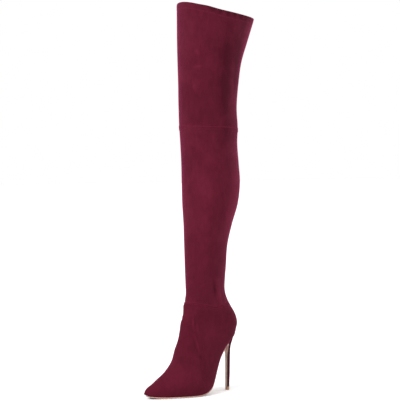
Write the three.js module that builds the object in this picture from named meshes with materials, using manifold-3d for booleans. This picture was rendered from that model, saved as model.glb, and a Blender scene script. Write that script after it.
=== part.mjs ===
// Thigh-high stretch boot with a pointed toe and a stiletto heel, for the left foot.
// Millimetres. +X points to the toe, +Y to the outer side, +Z up.
// The origin is the centre of the heel tip's face on the floor.

import * as THREE from 'three';
import { mergeVertices } from 'three/addons/utils/BufferGeometryUtils.js';
import Module from 'manifold-3d';

const wasm = await Module();
wasm.setup();

// Foot and last
const toeReach = 200; // heel tip centre to toe tip, along X
const heelHeight = 117; // floor to the back of the heel seat
const ballWidth = 78; // outside width of the upper at the ball
const instepDepth = 95; // sole to instep ridge at the arch

// Leg: height above the floor, where the axis runs, depth along X and width along Y
const ankle = { height: 214, axis: 58.5, depth: 83.5, width: 66 };
const calf = { height: 420, axis: 44, depth: 119, width: 111 };
const knee = { height: 532, axis: 50, depth: 117.5, width: 114.5 };
const thigh = { height: 800, axis: 26, depth: 171, width: 163 };

// Walls and clearances
const footWall = 1.5; // faux suede, lining and stiffener
const shaftWall = 1.4; // stretch faux suede bonded to its lining
const seamGap = 0.3; // clearance between neighbouring pieces
const lapDepth = 8; // how far one panel is tucked behind the next
const lastingMargin = 11; // upper turned under on to the insole

// Seam lines at the front, side and back of the leg: below the ankle's level, above the knee's
// level at the front and below it at the back, and below the thigh's level at the collar
const ankleSeam = { front: 30, side: 40, back: 24 };
const kneeSeam = { front: 3, back: 2, ribHeight: 9, ribStep: 0.7 };
const collar = { front: 24, back: 55, hemHeight: 12, hemWall: 2.6 };

// Bottom
const soleThickness = 2.4; // forefoot
const waistThickness = 1.7; // shank, from the arch to the heel breast
const soleOverhang = 0.8; // pale edge that shows past the upper
const insoleThickness = 1.6;
const insoleInset = 3.2;

// Heel
const tip = { depth: 7.4, width: 7, lift: 6.5 };
const seat = { front: 16, back: 11.6, width: 47 }; // front and back of the tip's centre line
const flapThickness = 1.2; // sole leather carried down the heel breast
const turnRadius = 5; // bend of that leather where the arch meets the heel breast

const soleStack = soleThickness + seamGap + footWall + seamGap;

const material = (color, roughness, metalness = 0) =>
  new THREE.MeshStandardMaterial({ color, roughness, metalness });
const footSuede = material(0x5e1a2c, 0.95);
const shaftSuede = material(0x692033, 0.95);
const paleLeather = material(0xc9a28c, 0.6);
const liftPlastic = material(0xa5694a, 0.5);
const sockLining = material(0xc8ab94, 0.8);

// The last, a row for each section from the toe tip to the ankle.
// along: underside point, as a share of toeReach. up: its height, 0 to 1 from the floor stack
// to the heel seat, and 1 to 2 from the seat to the ankle. lean: the section's tilt forward
// from vertical, in degrees. depth: underside to ridge, as a share of instepDepth.
// outer, inner: where the wall stands widest on each side, ridge: the ridge line, and
// soleOuter, soleInner: the edges of the flat underside, all as shares of ballWidth from
// the foot's axis. belly: height of the widest point, -1 at the underside to 1 at the ridge.
// crown: roundness of the top, 2 for an ellipse.
const lastRows = [
  // along up lean depth outer inner ridge soleOuter soleInner belly crown
  [0.998, 0.05, 0, 0.03, -0.078, -0.102, -0.09, -0.088, -0.092, 0.0, 2.0],
  [0.99, 0.042, 0, 0.075, -0.052, -0.128, -0.09, -0.074, -0.106, -0.1, 2.0],
  [0.975, 0.032, 0, 0.118, -0.018, -0.162, -0.09, -0.04, -0.14, -0.3, 2.0],
  [0.95, 0.022, 0, 0.162, 0.025, -0.198, -0.088, 0.002, -0.175, -0.45, 2.0],
  [0.9, 0.011, 0, 0.23, 0.094, -0.252, -0.082, 0.07, -0.226, -0.52, 2.0],
  [0.825, 0.003, 2, 0.335, 0.19, -0.322, -0.076, 0.16, -0.29, -0.54, 2.0],
  [0.74, 0, 6, 0.43, 0.288, -0.39, -0.07, 0.25, -0.352, -0.55, 1.95],
  [0.65, 0, 11, 0.553, 0.378, -0.448, -0.064, 0.333, -0.404, -0.56, 1.9],
  [0.56, 0, 17, 0.686, 0.448, -0.48, -0.058, 0.397, -0.423, -0.56, 1.85],
  [0.49, 0, 21, 0.82, 0.484, -0.486, -0.052, 0.422, -0.404, -0.6, 1.8],
  [0.43, 0.012, 23.2, 0.985, 0.49, -0.468, -0.046, 0.425, -0.346, -0.63, 1.8],
  [0.375, 0.044, 25.7, 1.1, 0.482, -0.438, -0.04, 0.415, -0.276, -0.64, 1.8],
  [0.32, 0.111, 29.1, 1.175, 0.463, -0.408, -0.034, 0.38, -0.23, -0.62, 1.8],
  [0.272, 0.253, 34.3, 1.165, 0.436, -0.388, -0.028, 0.33, -0.218, -0.58, 1.8],
  [0.229, 0.422, 40.8, 1.125, 0.408, -0.376, -0.022, 0.285, -0.224, -0.53, 1.82],
  [0.186, 0.591, 48.2, 1.095, 0.39, -0.37, -0.016, 0.26, -0.25, -0.5, 1.85],
  [0.134, 0.751, 56, 1.095, 0.382, -0.37, -0.012, 0.272, -0.276, -0.5, 1.88],
  [0.098, 0.819, 59.6, 1.118, 0.383, -0.372, -0.01, 0.276, -0.276, -0.5, 1.89],
  [0.07, 0.88, 63, 1.145, 0.384, -0.374, -0.008, 0.28, -0.275, -0.52, 1.9],
  [0.015, 0.951, 66.6, 1.225, 0.383, -0.377, -0.006, 0.24, -0.24, -0.52, 1.9],
  [-0.022, 1.0, 68.3, 1.282, 0.38, -0.375, -0.004, 0.145, -0.15, -0.48, 1.9],
  [-0.0475, 1.082, 70.6, 1.318, 0.38, -0.378, 0, 0.07, -0.07, -0.48, 1.92],
  [-0.0615, 1.201, 73.6, 1.322, 0.386, -0.384, 0, 0.05, -0.05, -0.52, 1.95],
  [-0.055, 1.325, 76.8, 1.285, 0.386, -0.384, 0, 0.04, -0.04, -0.46, 2.0],
  [-0.03, 1.443, 79.6, 1.2, 0.386, -0.386, 0, 0.035, -0.035, -0.38, 2.0],
  [0.01, 1.562, 81.8, 1.085, 0.39, -0.39, 0, 0.035, -0.035, -0.28, 2.0],
  [0.05, 1.691, 84.4, 0.975, 0.398, -0.398, 0, 0.035, -0.035, -0.18, 2.0],
  [0.075, 1.835, 87, 0.9, 0.408, -0.408, 0, 0.035, -0.035, -0.08, 2.0],
];

// The leg, a row for each level section from the ankle to above the collar.
// height: the level. axis: its centre along X. depth, width: its size along X and Y.
const between = (a, b, share) => a + (b - a) * share;
const level = (low, high, share, more = {}) => ({
  height: between(low.height, high.height, share),
  axis: between(low.axis, high.axis, more.axis ?? share),
  depth: between(low.depth, high.depth, more.size ?? share) * (more.hug ?? 1),
  width: between(low.width, high.width, more.size ?? share) * (more.hug ?? 1),
});
const legRows = [
  ankle,
  level(ankle, calf, 0.2, { axis: 0.05, size: 0.11 }),
  level(ankle, calf, 0.4, { axis: 0.12, size: 0.22 }),
  level(ankle, calf, 0.6, { axis: 0.46, size: 0.49 }),
  level(ankle, calf, 0.8, { axis: 0.86, size: 0.86 }),
  calf,
  level(calf, knee, 0.35, { axis: 0.35, hug: 0.985 }),
  level(calf, knee, 0.7, { axis: 0.86, hug: 0.975 }),
  knee,
  level(knee, thigh, 0.16, { axis: -0.09, size: 0.05 }),
  level(knee, thigh, 0.32, { axis: -0.02, size: 0.13 }),
  level(knee, thigh, 0.48, { axis: 0.1, size: 0.27 }),
  level(knee, thigh, 0.64, { axis: 0.4, size: 0.53 }),
  level(knee, thigh, 0.8, { axis: 0.72, size: 0.78 }),
  thigh,
];

// Sections in one list, each with its underside point, direction and side limits
function sectionOfLast([along, up, lean, depth, outer, inner, ridge, soleOuter, soleInner, belly, crown]) {
  const z =
    up <= 1
      ? between(soleStack, heelHeight, up)
      : between(heelHeight, ankle.height, up - 1);
  return {
    x: along * toeReach,
    z,
    lean: THREE.MathUtils.degToRad(lean),
    depth: depth * instepDepth,
    outer: outer * ballWidth,
    inner: inner * ballWidth,
    ridge: ridge * ballWidth,
    soleOuter: soleOuter * ballWidth,
    soleInner: soleInner * ballWidth,
    belly,
    crown,
  };
}

function sectionOfLeg({ height, axis, depth, width }) {
  const spine = 0.035 * ballWidth;
  return {
    x: axis - depth / 2,
    z: height,
    lean: Math.PI / 2,
    depth,
    outer: width / 2,
    inner: -width / 2,
    ridge: 0,
    soleOuter: spine,
    soleInner: -spine,
    belly: 0,
    crown: 2,
  };
}

const sections = [...lastRows.map(sectionOfLast), ...legRows.map(sectionOfLeg)];
const ankleStation = lastRows.length;
const calfStation = ankleStation + legRows.indexOf(calf);
const kneeStation = ankleStation + legRows.indexOf(knee);
const topStation = sections.length - 1;

// Distance along the boot's middle at each section, which paces the blend between sections
const middleOf = (s) =>
  new THREE.Vector2(
    s.x + (Math.sin(s.lean) * s.depth) / 2,
    s.z + (Math.cos(s.lean) * s.depth) / 2,
  );
const pace = [0];
for (let i = 1; i < sections.length; i++)
  pace.push(pace[i - 1] + middleOf(sections[i]).distanceTo(middleOf(sections[i - 1])));

// Smooth blend of one column at a station, where 3.5 is half way from row 3 to row 4
function blend(column, station) {
  const i = Math.min(Math.floor(station), sections.length - 2);
  const at = (k) => sections[THREE.MathUtils.clamp(k, 0, sections.length - 1)][column];
  const t = (k) => pace[THREE.MathUtils.clamp(k, 0, sections.length - 1)];
  const slope = (k) => (at(k + 1) - at(k - 1)) / (t(k + 1) - t(k - 1));
  const run = t(i + 1) - t(i);
  const u = station - i;
  const h1 = u * u * (3 - 2 * u);
  const h2 = u * (1 - u) * (1 - u);
  const h3 = u * u * (u - 1);
  return at(i) * (1 - h1) + at(i + 1) * h1 + run * (slope(i) * h2 + slope(i + 1) * h3);
}

function sectionAt(station) {
  const section = {};
  for (const column of Object.keys(sections[0])) section[column] = blend(column, station);
  return section;
}

// One side of a section, from the edge of its flat underside to the ridge, in the plane of
// the section: x is across the foot and y is up the section
const arcSteps = 20;
function sideOf(s, edge, widest) {
  const bellyHeight = ((s.belly + 1) / 2) * s.depth;
  const points = [];
  for (let i = 0; i < arcSteps; i++) {
    const a = (i / arcSteps) * (Math.PI / 2);
    points.push(
      new THREE.Vector2(
        edge + (widest - edge) * Math.sin(a),
        bellyHeight * (1 - Math.cos(a)),
      ),
    );
  }
  for (let i = 0; i <= arcSteps; i++) {
    const a = (i / arcSteps) * (Math.PI / 2);
    points.push(
      new THREE.Vector2(
        s.ridge + (widest - s.ridge) * Math.cos(a) ** (2 / s.crown),
        bellyHeight + (s.depth - bellyHeight) * Math.sin(a) ** (2 / s.crown),
      ),
    );
  }
  return points;
}

// Moves an open line sideways by a distance, to the right of its direction of travel
function shifted(points, distance, firstNormal, lastNormal) {
  return points.map((p, i) => {
    let normal;
    if (i === 0) normal = firstNormal;
    else if (i === points.length - 1) normal = lastNormal;
    else {
      const along = points[i + 1].clone().sub(points[i - 1]).normalize();
      normal = new THREE.Vector2(along.y, -along.x);
    }
    return p.clone().addScaledVector(normal, distance);
  });
}

// Points at equal distances along a line, without its last one
function spaced(points, count) {
  const length = [0];
  for (let i = 1; i < points.length; i++)
    length.push(length[i - 1] + points[i].distanceTo(points[i - 1]));
  const out = [];
  let k = 0;
  for (let i = 0; i < count; i++) {
    const want = (i / count) * length[length.length - 1];
    while (k < points.length - 2 && length[k + 1] < want) k++;
    const share = (want - length[k]) / Math.max(length[k + 1] - length[k], 1e-9);
    out.push(points[k].clone().lerp(points[k + 1], share));
  }
  return out;
}

const placed = (s, across, up) =>
  new THREE.Vector3(s.x + Math.sin(s.lean) * up, across, s.z + Math.cos(s.lean) * up);

// The closed ring of the boot's skin at a station, moved outward by an offset
const underSteps = 2;
const sideSteps = 16;
function skinRing(station, offset) {
  const s = sectionAt(station);
  const down = new THREE.Vector2(0, -1);
  const top = new THREE.Vector2(0, 1);
  const outer = shifted(sideOf(s, s.soleOuter, s.outer), offset, down, top);
  const inner = sideOf(s, s.soleInner, s.inner).map((p) => new THREE.Vector2(-p.x, p.y));
  const innerShifted = shifted(inner, offset, down, top).map(
    (p) => new THREE.Vector2(-p.x, p.y),
  );
  innerShifted.reverse();
  const middle = new THREE.Vector2((s.soleOuter + s.soleInner) / 2, -offset);
  const ring = [
    ...spaced([middle, outer[0]], underSteps),
    ...spaced(outer, sideSteps),
    ...spaced(innerShifted, sideSteps),
    ...spaced([innerShifted[innerShifted.length - 1], middle], underSteps),
  ];
  return ring.map((p) => placed(s, p.x, p.y));
}

// A closed mesh through rings of equal count, with both ends closed by a fan. The rings run
// anticlockwise when seen from the start of the loft.
function loft(rings) {
  const count = rings[0].length;
  const position = [];
  const index = [];
  const add = (p) => position.push(p.x, p.y, p.z) / 3 - 1;
  rings.forEach((ring) => ring.forEach(add));
  for (let i = 0; i + 1 < rings.length; i++)
    for (let j = 0; j < count; j++) {
      const a = i * count + j;
      const b = i * count + ((j + 1) % count);
      index.push(a, a + count, b, b, a + count, b + count);
    }
  const fan = (ring, first, flip) => {
    const centre = ring.reduce((sum, p) => sum.add(p), new THREE.Vector3());
    const c = add(centre.divideScalar(count));
    for (let j = 0; j < count; j++) {
      const a = first + j;
      const b = first + ((j + 1) % count);
      index.push(c, flip ? b : a, flip ? a : b);
    }
  };
  fan(rings[0], 0, false);
  fan(rings[rings.length - 1], (rings.length - 1) * count, true);
  const geometry = new THREE.BufferGeometry();
  geometry.setAttribute('position', new THREE.Float32BufferAttribute(position, 3));
  geometry.setIndex(index);
  return geometry;
}

function solidOf(geometry) {
  const bare = geometry.clone();
  bare.deleteAttribute('normal');
  bare.deleteAttribute('uv');
  const merged = mergeVertices(bare, 1e-4);
  return new wasm.Manifold(
    new wasm.Mesh({
      numProp: 3,
      vertProperties: merged.attributes.position.array,
      triVerts: new Uint32Array(merged.index.array),
    }),
  );
}

function meshOf(name, solid, material) {
  const mesh = solid.getMesh();
  const geometry = new THREE.BufferGeometry();
  geometry.setAttribute('position', new THREE.BufferAttribute(mesh.vertProperties, 3));
  geometry.setIndex(new THREE.BufferAttribute(mesh.triVerts, 1));
  geometry.computeVertexNormals();
  const out = new THREE.Mesh(geometry, material);
  out.name = name;
  return out;
}

// Stations from one to another, with every row of the tables between them, and in the leg,
// where the rows lie far apart, also the middle between two rows
function stations(from, to) {
  const list = [from];
  for (let t = Math.floor(2 * from) / 2 + 0.5; t < to; t += 0.5)
    if (Number.isInteger(t) || t > ankleStation) list.push(t);
  list.push(to);
  return list;
}
const skinSolid = (list, offset) => solidOf(loft(list.map((t) => skinRing(t, offset))));

// A block that cuts right through the boot, from an outline drawn in side view
const farAway = 400;
function blockOf(outline) {
  const shape = new THREE.Shape(outline.map(([x, z]) => new THREE.Vector2(x, z)));
  const geometry = new THREE.ExtrudeGeometry(shape, { depth: 2 * farAway, bevelEnabled: false });
  geometry.rotateX(Math.PI / 2);
  geometry.translate(0, farAway, 0);
  return solidOf(geometry);
}

// Everything above a line, which is given as points from back to front
function blockAbove(line, facets = 12) {
  const curve = new THREE.SplineCurve(line.map(([x, z]) => new THREE.Vector2(x, z)));
  const points = curve.getPoints(facets).map((p) => [p.x, p.y]);
  const ceiling = thigh.height + farAway;
  return blockOf([
    [-farAway, points[0][1]],
    ...points,
    [farAway, points[points.length - 1][1]],
    [farAway, ceiling],
    [-farAway, ceiling],
  ]);
}
const lowered = (line, drop) => line.map(([x, z]) => [x, z - drop]);

const ankleBack = ankle.axis - ankle.depth / 2;
const ankleFront = ankle.axis + ankle.depth / 2;
const seamBack = ankle.height - ankleSeam.back;
const seamSide = ankle.height - ankleSeam.side;
const seamFront = ankle.height - ankleSeam.front;
const ankleLine = [
  [ankleBack - 12, seamBack + 4],
  [ankleBack, seamBack],
  [between(ankleBack, ankleFront, 0.2), between(seamSide, seamBack, 0.3)],
  [between(ankleBack, ankleFront, 0.45), seamSide],
  [between(ankleBack, ankleFront, 0.75), between(seamSide, seamFront, 0.55)],
  [ankleFront, seamFront],
  [ankleFront + 12, seamFront],
];
const kneeBack = knee.height - kneeSeam.back;
const kneeFront = knee.height + kneeSeam.front;
const kneeLine = [
  [knee.axis - knee.depth / 2, kneeBack],
  [knee.axis, between(kneeBack, kneeFront, 0.55)],
  [knee.axis + knee.depth / 2, kneeFront],
];
const thighBack = thigh.axis - thigh.depth / 2;
const thighFront = thigh.axis + thigh.depth / 2;
const collarBack = thigh.height - collar.back;
const collarFront = thigh.height - collar.front;
const collarLine = [
  [thighBack, collarBack],
  [between(thighBack, thighFront, 0.42), between(collarBack, collarFront, 0.15)],
  [between(thighBack, thighFront, 0.72), between(collarBack, collarFront, 0.42)],
  [thighFront, collarFront],
];

// Foot upper: lasted over the foot, turned under at the sole, open at the ankle seam
const footOuter = seamGap + footWall;
function footUpper() {
  const outer = skinSolid(stations(0, ankleStation + 0.5), footOuter);
  const cavity = skinSolid(stations(2, ankleStation + 1), seamGap);
  const edge = stations(3, 19).map((t) => {
    const s = sectionAt(t);
    const outerEdge = Math.max(s.soleOuter - lastingMargin, (s.soleOuter + s.soleInner) / 2 + 0.4);
    const innerEdge = Math.min(s.soleInner + lastingMargin, (s.soleOuter + s.soleInner) / 2 - 0.4);
    return [
      placed(s, innerEdge, -footOuter * 2),
      placed(s, outerEdge, -footOuter * 2),
      placed(s, outerEdge, footOuter),
      placed(s, innerEdge, footOuter),
    ];
  });
  return outer.subtract(cavity).subtract(solidOf(loft(edge))).subtract(blockAbove(ankleLine));
}

const group = new THREE.Group();
group.add(meshOf('foot_upper', footUpper(), footSuede));

// Lower shaft: ankle to knee, tucked into the foot upper, its top edge a raised seam
function lowerShaft() {
  const reach = stations(ankleStation - 4, kneeStation + 0.5);
  const inside = stations(ankleStation - 4.5, kneeStation + 1);
  const rib = stations(kneeStation - 0.5, kneeStation + 0.5);
  const aboveRib = blockAbove(lowered(kneeLine, kneeSeam.ribHeight), 2);
  return skinSolid(reach, 0)
    .add(skinSolid(rib, kneeSeam.ribStep).intersect(aboveRib))
    .subtract(skinSolid(inside, -shaftWall))
    .intersect(blockAbove(lowered(ankleLine, lapDepth)))
    .subtract(blockAbove(kneeLine, 2));
}
group.add(meshOf('lower_shaft', lowerShaft(), shaftSuede));

// Thigh shaft: tucked into the lower shaft, its collar folded in as a hem
function thighShaft() {
  const outer = -shaftWall - seamGap;
  const reach = stations(kneeStation - 1, topStation);
  const inside = stations(kneeStation - 1.5, topStation);
  inside.push(topStation);
  const aboveHem = blockAbove(lowered(collarLine, collar.hemHeight), 8);
  const shell = (wall) => skinSolid(reach, outer).subtract(skinSolid(inside, outer - wall));
  return shell(shaftWall)
    .add(shell(collar.hemWall).intersect(aboveHem))
    .intersect(blockAbove(lowered(kneeLine, lapDepth), 2))
    .subtract(blockAbove(collarLine, 8));
}
group.add(meshOf('thigh_shaft', thighShaft(), shaftSuede));

// The heel, a row for each level. height: as a share of heelHeight. width, breast, back: how
// far each has grown from the tip's size, 0, to the seat's size, 1.
const heelRows = [
  // height width breast back
  [0.26, 0.01, 0, 0],
  [0.47, 0.02, 0, 0.03],
  [0.62, 0.045, 0.01, 0.08],
  [0.7, 0.14, 0.05, 0.12],
  [0.77, 0.31, 0.18, 0.17],
  [0.83, 0.57, 0.4, 0.23],
  [0.88, 0.82, 0.62, 0.29],
  [0.925, 0.95, 0.8, 0.42],
  [0.965, 1, 0.92, 0.61],
  [1.025, 1.06, 1, 0.97],
  [1.09, 1.12, 1.05, 1.24],
];
const heelLevels = [
  { z: tip.lift + seamGap, half: tip.width / 2, breast: tip.depth / 2, back: -tip.depth / 2 },
  ...heelRows.map(([height, width, breast, back]) => ({
    z: height * heelHeight,
    half: between(tip.width, seat.width, width) / 2,
    breast: between(tip.depth / 2, seat.front, breast),
    back: between(-tip.depth / 2, -seat.back, back),
  })),
];

// The sole's path in side view, along the face that lies against the upper and the heel:
// from the toe to the arch, round the bend and down the heel breast. Each point has the
// direction in which the sole's thickness is laid on.
function headingAt(points, i) {
  const before = points[Math.max(i - 1, 0)];
  const after = points[Math.min(i + 1, points.length - 1)];
  return new THREE.Vector2(after.x - before.x, after.z - before.z).normalize();
}
const moved = (p, distance) => ({
  ...p,
  x: p.x + p.out.x * distance,
  z: p.z + p.out.y * distance,
});
const soleStart = 1.5;
const soleEnd = 17;
const toeTo = 4; // the sole is skived thin from here to its front
const waistFrom = 9;
const waistTo = 12;
function solePath() {
  const foot = stations(soleStart, soleEnd).map((t) => {
    const s = sectionAt(t);
    const waist = THREE.MathUtils.clamp((t - waistFrom) / (waistTo - waistFrom), 0, 1);
    const skived = THREE.MathUtils.clamp((toeTo - t) / (toeTo - soleStart), 0, 1);
    return {
      x: s.x,
      z: s.z,
      down: new THREE.Vector2(-Math.sin(s.lean), -Math.cos(s.lean)),
      outer: s.soleOuter + soleOverhang,
      inner: s.soleInner - soleOverhang,
      thickness: between(soleThickness, waistThickness, waist) * (1 - 0.45 * skived),
    };
  });
  const arch = foot.map((p, i) => {
    const along = headingAt(foot, i);
    const square = new THREE.Vector2(-along.y, along.x);
    const out = p.down.clone().divideScalar(p.down.dot(square));
    return moved({ ...p, out }, footOuter + seamGap);
  });
  const breast = heelLevels
    .filter((level) => level.z < 0.8 * heelHeight)
    .reverse()
    .map(({ z, half, breast }) => ({
      x: breast - flapThickness,
      z,
      outer: half,
      inner: -half,
      thickness: flapThickness,
    }));
  const from = arch[arch.length - 1];
  const to = breast[0];
  const heading = (a, b) => new THREE.Vector2(b.x - a.x, b.z - a.z).setLength(turnRadius);
  const start = new THREE.Vector2(from.x, from.z);
  const end = new THREE.Vector2(to.x, to.z);
  const bend = new THREE.CubicBezierCurve(
    start,
    start.clone().add(heading(arch[arch.length - 2], from)),
    end.clone().sub(heading(to, breast[1])),
    end,
  );
  const turn = bend.getPoints(7).slice(1, -1);
  const rest = [
    ...turn.map((p, i) => {
      const share = (i + 1) / (turn.length + 1);
      return {
        x: p.x,
        z: p.y,
        outer: between(from.outer, to.outer, share),
        inner: between(from.inner, to.inner, share),
        thickness: between(from.thickness, to.thickness, share),
      };
    }),
    ...breast,
  ];
  rest.forEach((p, i) => {
    const along =
      i === 0
        ? headingAt([from, p, rest[1]], 1)
        : i === rest.length - 1
          ? new THREE.Vector2(0, -1)
          : headingAt(rest, i);
    p.out = new THREE.Vector2(-along.y, along.x);
  });
  return [...arch, ...rest];
}
const path = solePath();

// Outsole: follows the last from toe to arch and runs down the heel breast as a flap
function outsole() {
  const edgeShare = 0.55;
  const bevel = 0.6;
  const rings = path.map((p) => {
    const at = (across, out) => new THREE.Vector3(moved(p, out).x, across, moved(p, out).z);
    const t = p.thickness;
    return [
      at(p.inner + bevel, t),
      at(p.outer - bevel, t),
      at(p.outer, t * edgeShare),
      at(p.outer, 0),
      at(p.inner, 0),
      at(p.inner, t * edgeShare),
    ];
  });
  return solidOf(loft(rings));
}
group.add(meshOf('outsole', outsole(), paleLeather));

// A level section of the heel: a flat front with a round back, carried on ahead of the breast
const heelSteps = 7;
function heelRing({ z, half, breast, back }, ahead) {
  const side = [];
  for (let i = 0; i <= heelSteps; i++) {
    const a = (i / heelSteps) * (Math.PI / 2);
    side.push([breast - (breast - back) * Math.cos(a), half * Math.sin(a)]);
  }
  const ring = [
    ...side,
    [breast + ahead, half],
    [breast + ahead, -half],
    ...side
      .slice(1)
      .reverse()
      .map(([x, y]) => [x, -y]),
  ];
  return ring.map(([x, y]) => new THREE.Vector3(x, y, z));
}

// Heel: hollowed on top to the upper's seat, its breast cut to the sole's flap
function heel() {
  const blank = solidOf(loft(heelLevels.map((level) => heelRing(level, turnRadius))));
  const back = path.slice(waistTo).map((p) => moved(p, -seamGap));
  const inFront = [
    ...back.map((p) => [p.x, p.z]),
    [back[back.length - 1].x, -farAway],
    [farAway, -farAway],
    [farAway, back[0].z],
  ];
  const seatSkin = skinSolid(stations(waistTo, ankleStation - 3), footOuter + seamGap);
  return blank.subtract(blockOf(inFront)).subtract(seatSkin);
}
group.add(meshOf('heel', heel(), shaftSuede));

// Top lift: the heel tip's wearing piece, flat on the floor
function topLift() {
  const level = heelLevels[0];
  return solidOf(loft([0, tip.lift].map((z) => heelRing({ ...level, z }, 0.01))));
}
group.add(meshOf('top_lift', topLift(), liftPlastic));

// Insole: a thin board on the turned-in edge of the upper, from toe to heel seat
function insole() {
  const rings = stations(3, 19).map((t) => {
    const s = sectionAt(t);
    const outer = s.soleOuter - insoleInset;
    const inner = s.soleInner + insoleInset;
    return [
      placed(s, inner, 0),
      placed(s, outer, 0),
      placed(s, outer, insoleThickness),
      placed(s, inner, insoleThickness),
    ];
  });
  return solidOf(loft(rings));
}
group.add(meshOf('insole', insole(), sockLining));

export default group;
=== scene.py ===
# %% [markdown]
# # A thigh-high boot in suede
# This boot is a long sleeve of stretch suede over a shoe with a pointed toe and a thin, high
# heel. The measuring model from CAD gives every piece its true place. This script rebuilds the
# same pieces with rounded edges, soft creases, seams, stitches and a brushed nap, and hides
# the plain ones behind them. All sizes are in millimetres until a mesh is made.

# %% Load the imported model
import math

import bmesh
import bpy
import numpy as np
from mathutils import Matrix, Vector


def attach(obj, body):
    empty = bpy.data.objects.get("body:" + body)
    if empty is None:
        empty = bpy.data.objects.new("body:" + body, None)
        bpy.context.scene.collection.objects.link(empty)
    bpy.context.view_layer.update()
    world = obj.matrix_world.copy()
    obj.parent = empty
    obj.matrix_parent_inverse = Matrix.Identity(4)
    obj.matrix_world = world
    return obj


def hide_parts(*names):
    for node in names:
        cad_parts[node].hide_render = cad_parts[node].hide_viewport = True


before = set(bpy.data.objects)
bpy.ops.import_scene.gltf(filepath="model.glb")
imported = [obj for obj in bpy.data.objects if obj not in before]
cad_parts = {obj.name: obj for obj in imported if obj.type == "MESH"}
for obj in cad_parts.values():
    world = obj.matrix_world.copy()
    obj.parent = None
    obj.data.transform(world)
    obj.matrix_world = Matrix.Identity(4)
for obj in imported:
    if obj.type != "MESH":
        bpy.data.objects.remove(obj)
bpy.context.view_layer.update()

# %% [markdown]
# ## Sizes
# A shoemaker starts from a few measures: the length of the foot, the height of the heel, the
# width of the ball, and the girth of the leg at the ankle, calf, knee and thigh. The same
# measures are named here as in the CAD model, so that each new skin lies exactly where the
# measured solid lies.

# %% Name the sizes
toe_reach = 200.0
heel_height = 117.0
ball_width = 78.0
instep_depth = 95.0
ankle = {"height": 214.0, "axis": 58.5, "depth": 83.5, "width": 66.0}
calf = {"height": 420.0, "axis": 44.0, "depth": 119.0, "width": 111.0}
knee = {"height": 532.0, "axis": 50.0, "depth": 117.5, "width": 114.5}
thigh = {"height": 800.0, "axis": 26.0, "depth": 171.0, "width": 163.0}
foot_wall = 1.5
shaft_wall = 1.4
seam_gap = 0.3
lap_depth = 8.0
lasting_margin = 11.0
rib_height = 9.0
rib_step = 0.7
hem_height = 12.0
hem_wall = 2.6
sole_thickness = 2.4
waist_thickness = 1.7
sole_overhang = 0.8
insole_thickness = 1.6
insole_inset = 3.2
ankle_swell = 1.3
knee_swell = 1.55
vamp_fullness = 2.5
toe_stretch = 2.2
toe_cap = 1.1
flap_inset = 0.9
flap_outset = 0.5
heel_fullness = 1.4
foot_outer = seam_gap + foot_wall
sole_stack = sole_thickness + seam_gap + foot_outer
print("upper stands", foot_outer, "mm off the last, sole stack", sole_stack, "mm")

# %% [markdown]
# ## The last
# A last is the solid foot shape on which a shoe is built. Here it is a table with one row for
# each section from the toe tip to the ankle. A row says where the section stands, how far it
# leans, how deep it is, and how far it reaches to each side. Short tables like this are easier
# to correct against a photograph than a cloud of points.

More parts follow.
